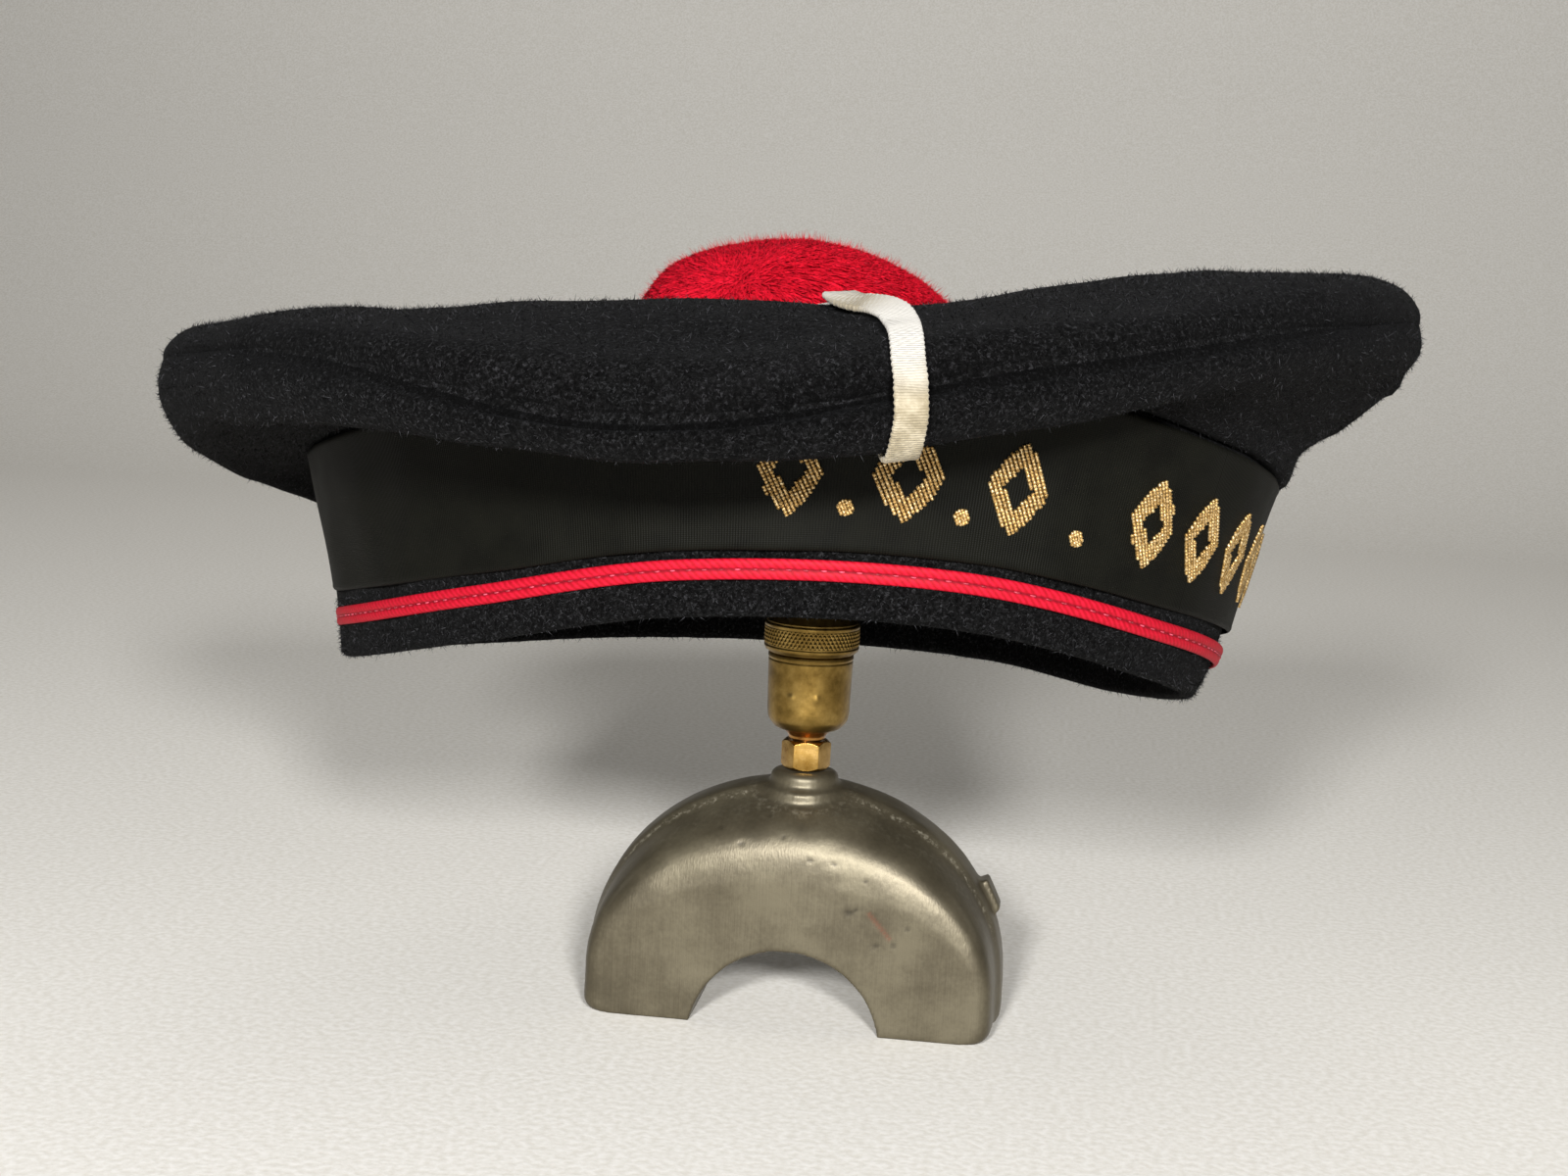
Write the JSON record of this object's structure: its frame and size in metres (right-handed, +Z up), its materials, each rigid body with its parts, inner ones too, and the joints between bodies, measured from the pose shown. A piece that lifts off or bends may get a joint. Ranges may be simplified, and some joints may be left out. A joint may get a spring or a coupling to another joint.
{
  "type": "sailor cap on a display stand",
  "caption": "Dark wool sailor's cap with a red pompom, ribbon band, red braid and white tape strap, resting tilted on a small half-ring metal stand.",
  "frame": {"origin": "middle of the bounding box's underside, on the floor between the feet and the crown's middle", "axes": "+Z up, +X along the stand's half ring, -Y the way the stand's flat face looks; the cap's front looks between +X and -Y"},
  "size_m": [0.2604, 0.2604, 0.1657],
  "materials": {
    "navy_wool": "fulled wool cloth with a short nap",
    "ribbed_ribbon": "fine ribbed silky weave",
    "red_braid": "two-ridge woven braid",
    "red_wool": "loose cut wool yarn",
    "white_tape": "ribbed cotton tape",
    "grey_metal": "cast, brushed and tarnished",
    "brass": "dull aged brass",
    "bright_brass": "polished brass"
  },
  "bodies": {
    "root": {"crown_top": "navy_wool", "crown_under": "navy_wool", "headband": "navy_wool", "cap_ribbon": "ribbed_ribbon", "red_piping": "red_braid", "pompom": "red_wool", "chin_strap": "white_tape", "stand_base": "grey_metal", "hex_nut": "bright_brass", "brass_cup": "brass", "knurled_collar": "brass", "support_post": "brass"}
  },
  "joints": []
}
